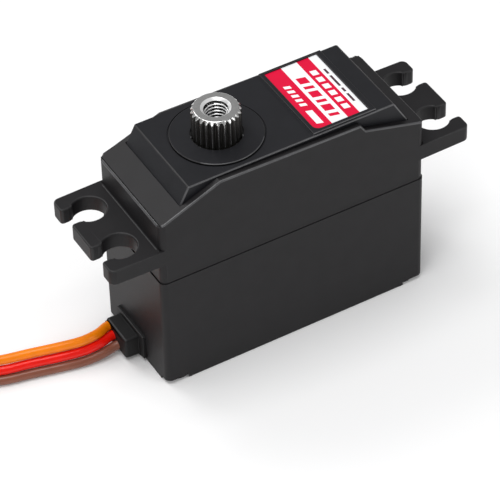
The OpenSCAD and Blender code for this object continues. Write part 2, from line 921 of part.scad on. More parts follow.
upper_case();
top_cover();
lower_case();
bottom_cover();
case_screws();
label();
cable_grommet();
output_shaft();
output_gear();
upper_bearing_outer();
upper_bearing_inner();
upper_bearing_balls();
lower_bearing_outer();
lower_bearing_inner();
lower_bearing_balls();
gear_pin();
motor_pinion();
gear_1_wheel();
gear_1_pinion();
gear_2_wheel();
gear_2_pinion();
gear_3_wheel();
gear_3_pinion();
motor_can();
motor_end_cap();
motor_bushes();
motor_magnets();
motor_shaft();
armature_core();
armature_coils();
commutator();
brushes();
motor_terminals();
pot_body();
pot_shaft();
pot_wiper();
pot_element();
pot_terminals();
circuit_board();
microcontroller();
motor_driver();
small_capacitors();
supply_capacitor();
signal_wire();
power_wire();
ground_wire();
wire_hank();
hank_tie();
plug_housing();
plug_contacts();
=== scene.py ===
import json
import math

import bmesh
import bpy
from mathutils import Matrix, Vector


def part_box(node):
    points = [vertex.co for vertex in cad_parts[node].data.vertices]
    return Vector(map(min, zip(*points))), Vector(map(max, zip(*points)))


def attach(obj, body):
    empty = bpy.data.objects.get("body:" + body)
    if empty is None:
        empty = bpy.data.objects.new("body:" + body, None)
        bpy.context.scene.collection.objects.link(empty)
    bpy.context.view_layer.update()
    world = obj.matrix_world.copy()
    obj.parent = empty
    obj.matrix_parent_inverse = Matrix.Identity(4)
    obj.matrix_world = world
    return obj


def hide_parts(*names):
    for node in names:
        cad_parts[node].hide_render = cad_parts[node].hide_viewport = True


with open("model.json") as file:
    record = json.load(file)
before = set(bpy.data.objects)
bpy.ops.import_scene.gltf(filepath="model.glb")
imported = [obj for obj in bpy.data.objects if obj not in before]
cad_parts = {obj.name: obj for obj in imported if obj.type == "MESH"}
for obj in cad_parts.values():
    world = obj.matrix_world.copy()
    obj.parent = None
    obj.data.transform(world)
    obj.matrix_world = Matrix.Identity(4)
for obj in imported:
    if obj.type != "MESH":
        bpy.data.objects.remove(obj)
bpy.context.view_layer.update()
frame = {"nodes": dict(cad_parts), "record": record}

MM = 0.001
CASE = "case"
OUTPUT = "output"
NODES = frame["nodes"]


def box_mm(node):
    """Low and high corner of a CAD node in millimetres."""
    lo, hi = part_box(node)
    return Vector(lo) / MM, Vector(hi) / MM


# ------------------------------------------------------------------ camera

# angles in degrees, places in millimetres
FIELD_OF_VIEW = 9.13
AZIMUTH = -29.08
ELEVATION = 43.15
ROLL = -1.81
DISTANCE = 360.16
TARGET = Vector((-8.0, -10.61, 19.89))


def make_camera():
    a, e, r = (math.radians(v) for v in (AZIMUTH, ELEVATION, ROLL))
    back = Vector((math.sin(a) * math.cos(e), -math.cos(a) * math.cos(e), math.sin(e)))
    level = Vector((math.cos(a), math.sin(a), 0))
    right = level * math.cos(r) + back.cross(level) * math.sin(r)
    up = back.cross(right)
    turn = Matrix((right, up, back)).transposed().to_4x4()
    data = bpy.data.cameras.new("camera")
    data.sensor_fit = "HORIZONTAL"
    data.angle = math.radians(FIELD_OF_VIEW)
    data.clip_start = 0.01
    data.clip_end = 10
    cam = bpy.data.objects.new("camera", data)
    cam.matrix_world = Matrix.Translation((TARGET + back * DISTANCE) * MM) @ turn
    bpy.context.scene.collection.objects.link(cam)
    bpy.context.scene.camera = cam


make_camera()

# ------------------------------------------------------------------ materials


def node_material(name, colour, rough, metallic=0.0, vary=0.15, cell=0.9, grain=0.06,
                  bump=0.25, rough_vary=0.06, coat=0.0, stretch=(1, 1, 1), specular=0.5):
    """Shader whose colour, roughness and bump come from noise in object space.

    cell and grain are the sizes, in millimetres, of the colour clouds and of the bump."""
    m = bpy.data.materials.new(name)
    m.use_nodes = True
    nt = m.node_tree
    shader = nt.nodes["Principled BSDF"]
    shader.inputs["Metallic"].default_value = metallic
    shader.inputs["Coat Weight"].default_value = coat
    shader.inputs["Coat Roughness"].default_value = 0.12
    shader.inputs["Specular IOR Level"].default_value = specular
    where = nt.nodes.new("ShaderNodeTexCoord")
    scale = nt.nodes.new("ShaderNodeMapping")
    scale.inputs["Scale"].default_value = stretch
    nt.links.new(where.outputs["Object"], scale.inputs["Vector"])

    def noise(size_mm, detail):
        n = nt.nodes.new("ShaderNodeTexNoise")
        n.inputs["Scale"].default_value = 1 / (size_mm * MM)
        n.inputs["Detail"].default_value = detail
        nt.links.new(scale.outputs["Vector"], n.inputs["Vector"])
        return n

    clouds = noise(cell, 3)
    fine = noise(grain, 2)
    ramp = nt.nodes.new("ShaderNodeValToRGB")
    ramp.color_ramp.elements[0].position = 0.3
    ramp.color_ramp.elements[1].position = 0.7
    ramp.color_ramp.elements[0].color = (*[c * (1 - vary) for c in colour], 1)
    ramp.color_ramp.elements[1].color = (*[min(1, c * (1 + vary)) for c in colour], 1)
    nt.links.new(clouds.outputs["Fac"], ramp.inputs["Fac"])
    nt.links.new(ramp.outputs["Color"], shader.inputs["Base Color"])
    spread = nt.nodes.new("ShaderNodeMapRange")
    spread.inputs["To Min"].default_value = max(0.02, rough - rough_vary)
    spread.inputs["To Max"].default_value = min(1, rough + rough_vary)
    nt.links.new(fine.outputs["Fac"], spread.inputs["Value"])
    nt.links.new(spread.outputs["Result"], shader.inputs["Roughness"])
    if bump:
        b = nt.nodes.new("ShaderNodeBump")
        b.inputs["Strength"].default_value = bump
        b.inputs["Distance"].default_value = 0.02 * MM
        nt.links.new(fine.outputs["Fac"], b.inputs["Height"])
        nt.links.new(b.outputs["Normal"], shader.inputs["Normal"])
    return m


PLASTIC = node_material("case_plastic", (0.0105, 0.0098, 0.0108), 0.50, cell=2.5,
                        grain=0.10, vary=0.10, bump=0.35, specular=0.23)
COVER = node_material("cover_plastic", (0.0098, 0.0100, 0.0122), 0.48, cell=2.5, grain=0.10,
                      vary=0.10, bump=0.30, specular=0.23)
# lighter, glossier plastic for rounded edges: a painted highlight along the edges; the second
# one is a fainter painted highlight
EDGE_HIGHLIGHT = node_material("case_plastic_bright_edge_highlight", (0.050, 0.050, 0.053), 0.36, cell=1.5,
                     grain=0.12, vary=0.25, bump=0.2, specular=0.6)
EDGE_FAINT_HIGHLIGHT = node_material("case_plastic_faint_edge_highlight", (0.0160, 0.0155, 0.0165), 0.44, cell=1.5,
                          grain=0.12, vary=0.2, bump=0.2, specular=0.32)
SHADE = node_material("cover_groove", (0.003, 0.003, 0.003), 0.8, bump=0.1, specular=0.05)
RUBBER = node_material("grommet_rubber", (0.0060, 0.0058, 0.0062), 0.60, cell=1.2,
                       grain=0.12, bump=0.4, specular=0.3)
STEEL = node_material("spline_steel", (0.62, 0.62, 0.61), 0.22, metallic=1, vary=0.06,
                      cell=0.4, grain=0.05, bump=0.06)
# dark steel: painted shade between the teeth and on the collar round the shaft's foot
STEEL_PAINTED_SHADE = node_material("spline_steel_recess_painted_shade", (0.075, 0.072, 0.068), 0.38,
                           metallic=0.9, vary=0.2, cell=0.4, grain=0.05, bump=0.15)
# whiter steel: a painted highlight on the mouth's chamfer and on the thread's upward faces
STEEL_PAINTED_HIGHLIGHT = node_material("spline_steel_mouth_painted_highlight", (0.84, 0.84, 0.84), 0.30, metallic=0.6,
                            vary=0.04, cell=0.4, grain=0.05, bump=0.05)
THREAD_SHADE = node_material("thread_shade", (0.006, 0.006, 0.006), 0.6, metallic=0.3,
                             bump=0.1, specular=0.1)
SCREW = node_material("screw_steel", (0.035, 0.035, 0.037), 0.35, metallic=1, bump=0.15)
BRIGHT = node_material("bearing_steel", (0.70, 0.71, 0.73), 0.12, metallic=1, vary=0.04,
                       bump=0.05, rough_vary=0.03)
DULL_STEEL = node_material("gear_steel", (0.55, 0.56, 0.58), 0.32, metallic=1, bump=0.2)
BRASS = node_material("gear_brass", (0.78, 0.56, 0.25), 0.30, metallic=1, vary=0.1, bump=0.2)
BRONZE = node_material("bush_bronze", (0.48, 0.28, 0.12), 0.40, metallic=1, vary=0.2,
                       bump=0.3)
CAN = node_material("can_steel", (0.60, 0.60, 0.62), 0.28, metallic=1, bump=0.12,
                    stretch=(1, 1, 0.2))
WHITE = node_material("white_plastic", (0.78, 0.77, 0.72), 0.45, vary=0.04, bump=0.2)
DARK = node_material("component_plastic", (0.02, 0.02, 0.02), 0.55, vary=0.2, bump=0.3)
BOARD = node_material("board_laminate", (0.02, 0.14, 0.06), 0.35, vary=0.3, cell=0.5,
                      coat=0.3)
SLEEVE = node_material("capacitor_sleeve", (0.28, 0.30, 0.36), 0.35, metallic=1, bump=0.1)
PLUG = node_material("plug_plastic", (0.018, 0.018, 0.018), 0.42, cell=1.5, bump=0.3)
ORANGE = node_material("orange_pvc", (0.88, 0.215, 0.002), 0.20, vary=0.06, cell=1.5,
                       grain=0.5, bump=0.03, specular=0.35)
RED = node_material("red_pvc", (0.80, 0.007, 0.002), 0.18, vary=0.06, cell=1.5, grain=0.5,
                    bump=0.03, specular=0.35)
BROWN = node_material("brown_pvc", (0.215, 0.072, 0.042), 0.20, vary=0.08, cell=1.5,
                      grain=0.5, bump=0.03, specular=0.45)
LABEL_RED = node_material("label_red", (0.66, 0.003, 0.040), 0.35, vary=0.03, cell=1.5,
                          bump=0.08, specular=0.2)
LABEL_WHITE = node_material("label_white", (0.84, 0.85, 0.87), 0.35, vary=0.02, cell=1.5,
                            bump=0.08, specular=0.25)
LABEL_DARK = node_material("label_dark", (0.06, 0.02, 0.03), 0.35, vary=0.1, bump=0.08,
                           coat=0.2)
BY_SLOT = {
    "case_plastic": PLASTIC, "cover_plastic": COVER, "screw_steel": SCREW,
    "label_film": LABEL_RED, "grommet_rubber": RUBBER, "spline_steel": STEEL,
    "gear_brass": BRASS, "gear_steel": DULL_STEEL, "bearing_steel": BRIGHT,
    "can_steel": CAN, "bush_bronze": BRONZE, "white_plastic": WHITE,
    "component_plastic": DARK, "board_laminate": BOARD, "capacitor_sleeve": SLEEVE,
    "orange_pvc": ORANGE, "red_pvc": RED, "brown_pvc": BROWN, "plug_plastic": PLUG,
}


def finish_nodes():
    """Every carried-over CAD node gets the material of its slot."""
    for part in frame["record"]["subparts"]:
        o = NODES[part["node"]]
        o.data.materials.clear()
        o.data.materials.append(BY_SLOT[part["material_slot"]])


finish_nodes()

# ------------------------------------------------------------------ mesh helpers


def new_piece(name, bm, mats, body, smooth_angle=None):
    """Object from a bmesh in metres, riding on a body."""
    mesh = bpy.data.meshes.new(name)
    bm.normal_update()
    bm.to_mesh(mesh)
    bm.free()
    for m in mats:
        mesh.materials.append(m)
    o = bpy.data.objects.new(name, mesh)
    bpy.context.scene.collection.objects.link(o)
    if smooth_angle is not None:
        for p in mesh.polygons:
            p.use_smooth = True
        mesh.set_sharp_from_angle(angle=math.radians(smooth_angle))
    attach(o, body)
    return o


def spline_line(points, step=0.5):
    """Smooth line through points in millimetres, sampled about every step."""
    pts = [Vector(p) for p in points]
    pts = [2 * pts[0] - pts[1]] + pts + [2 * pts[-1] - pts[-2]]
    line = []
    for i in range(1, len(pts) - 2):
        p0, p1, p2, p3 = pts[i - 1:i + 3]
        d0, d1, d2 = (p1 - p0).length, (p2 - p1).length, (p3 - p2).length
        t1 = (p2 - p0) / (d1 + d0) * d1
        t2 = (p3 - p1) / (d2 + d1) * d1
        n = max(1, round(d1 / step))
        for k in range(n):
            t = k / n
            line.append(
                p1 * (2 * t ** 3 - 3 * t ** 2 + 1) + t1 * (t ** 3 - 2 * t ** 2 + t)
                + p2 * (3 * t ** 2 - 2 * t ** 3) + t2 * (t ** 3 - t ** 2)
            )
    line.append(pts[-2])
    return line


def tube_mesh(line, radius, sides=16):
    """Closed round tube along a line in millimetres."""
    bm = bmesh.new()
    rings = []
    side = None
    for i, p in enumerate(line):
        t = (line[min(len(line) - 1, i + 1)] - line[max(0, i - 1)]).normalized()
        if side is None:
            side = t.cross(Vector((0, 0, 1)) if abs(t.z) < 0.9 else Vector((1, 0, 0)))
        side = (side - t * side.dot(t)).normalized()
        up = t.cross(side)
        rings.append([
            bm.verts.new((p + (side * math.cos(a) + up * math.sin(a)) * radius) * MM)
            for a in (2 * math.pi * k / sides for k in range(sides))
        ])
    for a, b in zip(rings, rings[1:]):
        for k in range(sides):
            bm.faces.new((a[k], a[(k + 1) % sides], b[(k + 1) % sides], b[k]))
    bm.faces.new(rings[0][::-1])
    bm.faces.new(rings[-1])
    return bm


WELD_GAP = 0.002
FLAT_ANGLE = math.radians(0.6)
EDGE_ANGLE = math.radians(28)
SMOOTH_ANGLE = 34


def rounded_copy(node, name, width, mats, keep, segments=4, others=(), extra=None,
                 edge_highlight=None):
    """A fixed CAD node's shape with its outer edges rounded to a width in millimetres.

    keep(middle, direction) picks the edges. others are more pairs of a width and a picker,
    rounded first. extra(bm) adds more shape, and worn(place) is the material index of the
    rounding, where the lighter materials paint highlights on the edges."""
    bm = bmesh.new()
    bm.from_mesh(NODES[node].data)
    bmesh.ops.remove_doubles(bm, verts=bm.verts, dist=WELD_GAP * MM)
    bmesh.ops.dissolve_limit(bm, angle_limit=FLAT_ANGLE, verts=bm.verts, edges=bm.edges)

    def picked(test):
        out = []
        for e in bm.edges:
            if len(e.link_faces) != 2 or e.calc_face_angle(0) < EDGE_ANGLE:
                continue
            a, b = (v.co / MM for v in e.verts)
            if (a - b).length > 0.01 and test((a + b) / 2, (b - a).normalized()):
                out.append(e)
        return out

    for w, test in [*others, (width, keep)]:
        made = bmesh.ops.bevel(bm, geom=picked(test), offset=w * MM, segments=segments,
                               profile=0.5, affect="EDGES", clamp_overlap=False)
        # the rounding gets a lighter edge material: a painted highlight
        for f in made["faces"]:
            f.material_index = edge_highlight(f.calc_center_median() / MM) if edge_highlight else 0
    if extra:
        extra(bm)
    o = new_piece(name, bm, mats, CASE, SMOOTH_ANGLE)
    flat = o.modifiers.new("flat_faces", "WEIGHTED_NORMAL")
    flat.keep_sharp = True
    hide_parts(node)
    return o


# ------------------------------------------------------------------ lead

WIRE_D = 1.2
GROMMET_LO, GROMMET_HI = box_mm("cable_grommet")
EXIT_X = GROMMET_LO.x
ENTRY_X = GROMMET_HI.x
BOARD_UNDER = box_mm("circuit_board")[0].z
PLUG_FACE_X = box_mm("plug_housing")[1].x
HANK_LO, HANK_HI = box_mm("wire_hank")
TURN_R = (HANK_HI.y - HANK_LO.y) / 2 - WIRE_D / 2
TURN_PITCH = 1.22
TURNS = 3
PLUG_PITCH = 2.54
WIRES = [
    # name, material, its slot, y and z at the grommet's inner and outer face, height in the
    # bundle, and the route from the grommet to the bundle
    ("signal_wire", ORANGE, "orange_pvc", (2.3, 2.2), (3.0, 2.6), 3.55, [
        (-22, 2.35, 2.74), (-24.2, 2.22, 2.73), (-26.9, 2.74, 2.72), (-30.44, 3.63, 2.72),
        (-34.2, 4.52, 2.74), (-37.5, 5.75, 2.95), (-41, 7.5, 3.3), (-44.4, 9, 3.52),
    ]),
    ("power_wire", RED, "red_pvc", (0.95, 2.2), (1.93, 1.95), 2.25, [
        (-22.2, 1.6, 1.76), (-24.3, 1.6, 1.68), (-27.07, 2.13, 1.67), (-30.67, 3.03, 1.67),
        (-34.4, 3.9, 1.68), (-37.5, 5.3, 1.83), (-41, 7.3, 2.08), (-44.4, 9, 2.24),
    ]),
    ("ground_wire", BROWN, "brown_pvc", (-0.4, 2.2), (0.93, 1.1), 0.95, [
        (-22.3, 0.8, 0.84), (-24.5, 0.97, 0.62), (-27.25, 1.52, 0.62), (-30.9, 2.43, 0.62),
        (-34.6, 3.3, 0.65), (-37.6, 4.75, 0.75), (-41, 7.15, 0.86), (-44.4, 9, 0.94),
    ]),
]


def bundle_turns(z):
    """Flat turns of one wire in the bundle, from the outside in, in millimetres."""
    mid_y = (HANK_LO.y + HANK_HI.y) / 2
    right_x = HANK_HI.x - TURN_R - WIRE_D / 2
    left_x = HANK_LO.x + TURN_R + WIRE_D / 2
    pts = []
    steps = 24
    last = TURNS * steps
    for k in range(last + 1):
        a = math.pi / 2 + 2 * math.pi * k / steps
        r = TURN_R - TURN_PITCH * k / steps
        y = mid_y + r * math.sin(a)
        if abs(math.cos(a)) > 1e-6:
            cx = right_x if math.cos(a) > 0 else left_x
            pts.append(Vector((cx + r * math.cos(a), y, z)))
            continue
        # a straight run starts here: its start, middle and end
        start, end = (right_x, left_x) if math.sin(a) > 0 else (left_x, right_x)
        pts.append(Vector((start, y, z)))
        if k < last:
            pts.append(Vector(((start + end) / 2, y, z)))
            pts.append(Vector((end, y, z)))
    return pts


def over_and_out(z, y, last_y):
    """From the inside of the bundle at last_y over its far end and down to the plug at y."""
    top = 4.8
    rise = top - z
    across = [(k / 5, (k / 5) ** 2 * (3 - 2 * k / 5)) for k in range(1, 5)]
    return [(-47.8 - 10.7 * t, last_y + (y - last_y) * ease, z) for t, ease in across] + [
        (-58.5, y, z + 0.02 * rise),
        (-62, y, z + 0.28 * rise), (-65, y, z + 0.72 * rise), (-68, y, top - 0.04 * rise),
        (-71, y, top + 0.04), (-73.6, y, top - 0.15), (-75.2, y, top - 0.85),
        (-76.6, y, top - 2.0), (-78, y, top - 3.0), (PLUG_FACE_X + 1, y, 1.3),
        (PLUG_FACE_X, y, 1.3), (PLUG_FACE_X - 0.8, y, 1.3),
    ]


def make_lead(plug):
    mid_y = (HANK_LO.y + HANK_HI.y) / 2
    for i, (name, mat, slot, entry, out, height, far) in enumerate(WIRES):
        start = [(ENTRY_X, *entry), (EXIT_X, *out)]
        pts = start + far + bundle_turns(height)
        pts += over_and_out(height, mid_y + PLUG_PITCH * (1 - i), pts[-1][1])
        line = spline_line(pts)
        o = new_piece(name + "_core", tube_mesh(line, WIRE_D / 2), [mat], CASE, 60)
        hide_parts(*([name, "wire_hank"] if i == 1 else [name]))
        # the short end inside the case, soldered to the board
        y, z = entry
        end = spline_line([
            (ENTRY_X, y, z), (ENTRY_X + 2, y, z), (ENTRY_X + 2.7, y, z + 0.3),
            (ENTRY_X + 3, y, BOARD_UNDER - 0.4), (ENTRY_X + 3, y, BOARD_UNDER),
        ], 0.3)
        new_piece(name + "_board_end", tube_mesh(end, WIRE_D / 2), [mat], CASE, 60)


def make_plug():
    return rounded_copy("plug_housing", "plug_housing_body", 0.2, [PLUG],
                        lambda p, d: True, segments=2)


make_lead(make_plug())


# exponent of the band's rounded rectangle, where less is squarer
BAND_EXPONENT = 0.35


def make_tie():
    """Flat band round the bundle with a twisted tail."""
    x = (HANK_LO.x + HANK_HI.x) / 2
    clear = Vector((0, 0.15, 0.15))
    lo, hi = HANK_LO - clear, HANK_HI + clear
    mid = (lo + hi) / 2
    half_y, half_z = (hi.y - lo.y) / 2, (hi.z - lo.z) / 2
    bm = bmesh.new()
    rings = []
    steps = 72
    # the band's section: places across its width and through its thickness
    section = [(-1.5, 0), (-1.4, 0.13), (1.4, 0.13), (1.5, 0), (1.4, -0.13), (-1.4, -0.13)]
    for k in range(steps):
        a = 2 * math.pi * k / steps
        c, s = math.cos(a), math.sin(a)
        # rounded rectangle
        y = mid.y + half_y * math.copysign(abs(c) ** BAND_EXPONENT, c)
        z = mid.z + half_z * math.copysign(abs(s) ** BAND_EXPONENT, s)
        out = Vector((0, c, s)).normalized()
        rings.append([
            bm.verts.new(Vector((x + u, y + out.y * v, z + out.z * v)) * MM)
            for u, v in section
        ])
    n = len(section)
    for i, a in enumerate(rings):
        b = rings[(i + 1) % steps]
        for k in range(n):
            bm.faces.new((a[k], b[k], b[(k + 1) % n], a[(k + 1) % n]))
    bmesh.ops.recalc_face_normals(bm, faces=bm.faces)
    tie = new_piece("hank_tie_band", bm, [RUBBER], CASE, 40)
    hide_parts("hank_tie")
    # twisted tail lying on the bundle
    bm = bmesh.new()
    rows = []
    steps = 60
    half_turns = 5
    half_w, half_t = 0.42, 0.14
    for k in range(steps + 1):
        t = k / steps
        a = math.pi * half_turns * t
        p = Vector((x + 1.0 + 7 * t, mid.y + 1.5 + 1.5 * t, hi.z + 0.55))
        w = Vector((0, math.cos(a), math.sin(a))) * half_w
        h = Vector((0, -math.sin(a), math.cos(a))) * half_t
        rows.append([bm.verts.new((p + q) * MM) for q in (w + h, w - h, -w - h, -w + h)])
    for a, b in zip(rows, rows[1:]):
        for k in range(4):
            bm.faces.new((a[k], a[(k + 1) % 4], b[(k + 1) % 4], b[k]))
    bm.faces.new(rows[0][::-1])
    bm.faces.new(rows[-1])
    bmesh.ops.recalc_face_normals(bm, faces=bm.faces)
    new_piece("hank_tie_tail", bm, [RUBBER], CASE, 40)


make_tie()

# ------------------------------------------------------------------ case

COVER_HI = box_mm("top_cover")[1]
SHAFT_LO, SHAFT_HI = box_mm("output_shaft")
AXIS_X = (SHAFT_LO.x + SHAFT_HI.x) / 2
# the lower half stands this far out from the upper case
LOW_STEP = 0.1
END_X, SIDE_Y = box_mm("bottom_cover")[1].xy
WALL_X = END_X - LOW_STEP
CORNER_R = 0.8
# the seam between the halves, at the upper case's lower rim
SEAM_Z = box_mm("upper_case")[0].z
EAR_TOP = 21.6
# every top edge of the upper case is above this height, and the ears are below it
TOP_EDGES_Z = 24.5
# the edges of the cover's plateau and of its slope at the lead's end are above this height,
# and the short upright edges under that slope are below it
SLOPE_Z = 26.35
# just inside the plateau's two ends
PLATEAU_X = (-13, 13.8)
# just short of the middle of the slope at the far end
FAR_SLOPE_X = 15
# only the raised frame and disc have edges above this height
RAISED_Z = COVER_HI.z - 0.2
# radius of the raised disc, and of the outside of the groove round it
DISC_R = 5.6
GROOVE_R = 5.8


def outside(p, gap=0.2):
    """True for a point on the outside of the case's walls or ears."""
    return abs(p.y) > SIDE_Y - gap or abs(p.x) > END_X - gap


def make_upper_case():
    def back_edge(p, d):
        at_back = p.y > SIDE_Y - 0.3 and abs(p.x) < END_X - 1
        return at_back and p.z > TOP_EDGES_Z and abs(d.x) > 0.5

    def upper_edge(p, d):
        in_x = WALL_X - CORNER_R < abs(p.x) < WALL_X - 0.01
        in_corner = in_x and abs(p.y) > SIDE_Y - CORNER_R - 0.05
        if p.z < SEAM_Z + 0.05 or (p.z < EAR_TOP + 0.4 and in_corner):
            return False
        if p.z > TOP_EDGES_Z:
            return outside(p, 0.3) and not back_edge(p, d)
        return outside(p)

    def ear_corner(p, d):
        return abs(d.z) > 0.99 and abs(p.x) > END_X + 0.5

    def ear_roots(bm):
        """Fillets where the ears' upper faces meet the end walls, sunk a little into both."""
        root_r, steps = 0.25, 6
        centre_x, centre_z = WALL_X + 0.22, EAR_TOP + 0.22
        turns = [math.pi / 2 * k / steps for k in range(steps + 1)]
        outline = [(centre_x - root_r * math.sin(a), centre_z - root_r * math.cos(a))
                   for a in turns]
        outline.append((WALL_X - 0.1, EAR_TOP - 0.1))
        for side in (-1, 1):
            rows = []
            for y in (-SIDE_Y + 0.35, SIDE_Y - 0.35):
                rows.append([bm.verts.new(Vector((side * x, y, z)) * MM) for x, z in outline])
            front, back = rows
            n = len(front)
            made = [bm.faces.new((front[k], front[(k + 1) % n], back[(k + 1) % n], back[k]))
                    for k in range(n)]
            made.append(bm.faces.new(front))
            made.append(bm.faces.new(back[::-1]))
            bmesh.ops.recalc_face_normals(bm, faces=made)

    # painted highlight: the front top edges and those at the lead's end get the bright edge
    # material, the other roundings the faint one
    def upper_edge_highlight(p):
        if p.z < SEAM_Z + 0.3:
            return 0
        front_top = p.y < 0 and abs(p.x) < END_X - 0.5
        lead_end = p.x < -WALL_X + 0.5 and abs(p.y) < SIDE_Y - CORNER_R
        return 1 if p.z > TOP_EDGES_Z and (front_top or lead_end) else 2

    rounded_copy("upper_case", "upper_case_shell", 0.2, [PLASTIC, EDGE_HIGHLIGHT, EDGE_FAINT_HIGHLIGHT],
                 upper_edge, others=[(0.4, ear_corner), (0.55, back_edge)],
                 extra=ear_roots, edge_highlight=upper_edge_highlight)


def make_lower_case():
    def seam_edge(p, d):
        return abs(p.z - SEAM_Z) < 0.05 and outside(p)

    # the seam's rounding gets the faint edge material, a painted highlight
    rounded_copy("lower_case", "lower_case_shell", 0.09, [PLASTIC, EDGE_FAINT_HIGHLIGHT], seam_edge,
                 segments=2, edge_highlight=lambda p: 1)


def make_bottom_cover():
    def foot_edge(p, d):
        return outside(p, 0.5) and p.z < 0.05

    # the foot's rounding gets the faint edge material, a painted highlight
    rounded_copy("bottom_cover", "bottom_cover_shell", 0.12, [PLASTIC, EDGE_FAINT_HIGHLIGHT], foot_edge,
                 segments=2, edge_highlight=lambda p: 1)


def make_top_cover():
    def from_axis(p):
        return math.hypot(p.x - AXIS_X, p.y)

    def raised_edge(p, d):
        return p.z > RAISED_Z

    def cover_edge(p, d):
        # the label's frame stands close to the plateau's back edge, which stays sharp
        in_top = -COVER_HI.y + 0.15 < p.y and PLATEAU_X[0] < p.x < PLATEAU_X[1]
        return p.z <= RAISED_Z and (p.x > FAR_SLOPE_X or p.z > SLOPE_Z and not in_top)

    # painted highlight: the front edges and the disc's front rim get the bright edge material,
    # the other roundings the faint one
    def cover_edge_highlight(p):
        front_rim = from_axis(p) > DISC_R - 0.6 and p.x < 0 and p.y < -3.5
        return 1 if p.z > SLOPE_Z - 0.15 and (p.y < -6 or front_rim) else 2

    def groove_shade(bm):
        """Shade in the groove round the raised disc."""
        for f in bm.faces:
            p = f.calc_center_median() / MM
            in_groove = DISC_R - 0.1 < from_axis(p) < GROOVE_R + 0.05
            if in_groove and RAISED_Z - 0.25 < p.z < RAISED_Z:
                f.material_index = 3

    rounded_copy("top_cover", "top_cover_shell", 0.16, [COVER, EDGE_HIGHLIGHT, EDGE_FAINT_HIGHLIGHT, SHADE],
                 cover_edge, others=[(0.1, raised_edge)],
                 extra=groove_shade, edge_highlight=cover_edge_highlight)


make_upper_case()
make_lower_case()
make_bottom_cover()
make_top_cover()


def make_grommet():
    # between the flange's outer face and the sleeve's edges
    flange_x = -END_X - 0.6
    # the rounding above this height gets the lighter edge material, a painted highlight
    light_z = 3.2

    def straight(d):
        return max(abs(d.x), abs(d.y), abs(d.z)) > 0.99

    def sleeve_edge(p, d):
        return p.x < flange_x and straight(d)

    def flange_edge(p, d):
        return flange_x < p.x < -END_X - 0.05 and straight(d) and abs(d.x) < 0.99

    rounded_copy("cable_grommet", "cable_grommet_body", 0.12, [RUBBER, EDGE_FAINT_HIGHLIGHT],
                 flange_edge, others=[(0.34, sleeve_edge)],
                 edge_highlight=lambda p: 1 if p.z > light_z else 0)


make_grommet()


# ------------------------------------------------------------------ output shaft

TEETH = 25
TOOTH_STEPS = 8
COLUMNS = TEETH * TOOTH_STEPS
# share of the tooth height at each step round one tooth
TOOTH = [0.0, 0.28, 0.74, 1.0, 1.0, 0.74, 0.28, 0.0]
ROOT_R = 2.60
TOOTH_H = 0.36
SPLINE_FOOT = 28.6
# depth of the chamfer on the teeth's upper ends
TOOTH_CHAMFER = 0.42
MOUTH_R = 1.80
MOUTH_DEPTH = 0.27
THREAD_R = 1.46
THREAD_H = 0.21
THREAD_PITCH = 0.5
THREAD_DEPTH = 5.5


def shaft_rows():
    """Rings of the shaft, each a list of radius and height for every column, from the hole in
    the stem's lower end up the outside and down the threaded hole."""
    top = SHAFT_HI.z
    rows = []

    def plain(r, z):
        rows.append([(r, z)] * COLUMNS)

    def toothed(z, limit=ROOT_R + TOOTH_H):
        rows.append([
            (min(ROOT_R + TOOTH_H * TOOTH[k % TOOTH_STEPS], limit), z) for k in range(COLUMNS)
        ])

    for r, z in ((0.75, 19.0), (0.75, 16.5), (0.85, 16.4), (1.15, 16.4), (1.25, 16.5),
                 (1.25, 23.55), (1.3, 23.6), (2.33, 23.6), (2.33, 25.6), (3.35, 25.6),
                 (3.4, 25.65), (3.4, 25.95), (3.35, 26.0), (3.0, 26.0),
                 (3.0, SPLINE_FOOT - 0.05), (2.95, SPLINE_FOOT), (ROOT_R, SPLINE_FOOT)):
        plain(r, z)
    for z in (SPLINE_FOOT + 0.02, 29.6, 31.0, top - TOOTH_CHAMFER):
        toothed(z)
    for share in (0.25, 0.5, 0.75):
        toothed(top - TOOTH_CHAMFER + 0.36 * share, 2.98 - 0.3 * share)
    plain(2.64, top - 0.03)
    plain(2.58, top)
    plain(MOUTH_R, top)
    plain(MOUTH_R - 0.03, top - 0.02)
    plain(THREAD_R, top - MOUTH_DEPTH)
    per_pitch = 10
    for k in range(int(THREAD_DEPTH / THREAD_PITCH * per_pitch)):
        z = top - MOUTH_DEPTH - 0.03 - k * THREAD_PITCH / per_pitch
        # the thread runs in over a little more than half a pitch
        height = THREAD_H * min(1, (k + 1) / per_pitch / 0.6)
        row = []
        for c in range(COLUMNS):
            phase = (z / THREAD_PITCH + c / COLUMNS) % 1
            crest = min(1, max(0, (0.8 - abs(2 * phase - 1)) / 0.6))
            row.append((THREAD_R - height * crest, z))
        rows.append(row)
    plain(THREAD_R - THREAD_H, top - THREAD_DEPTH - 0.3)
    return rows


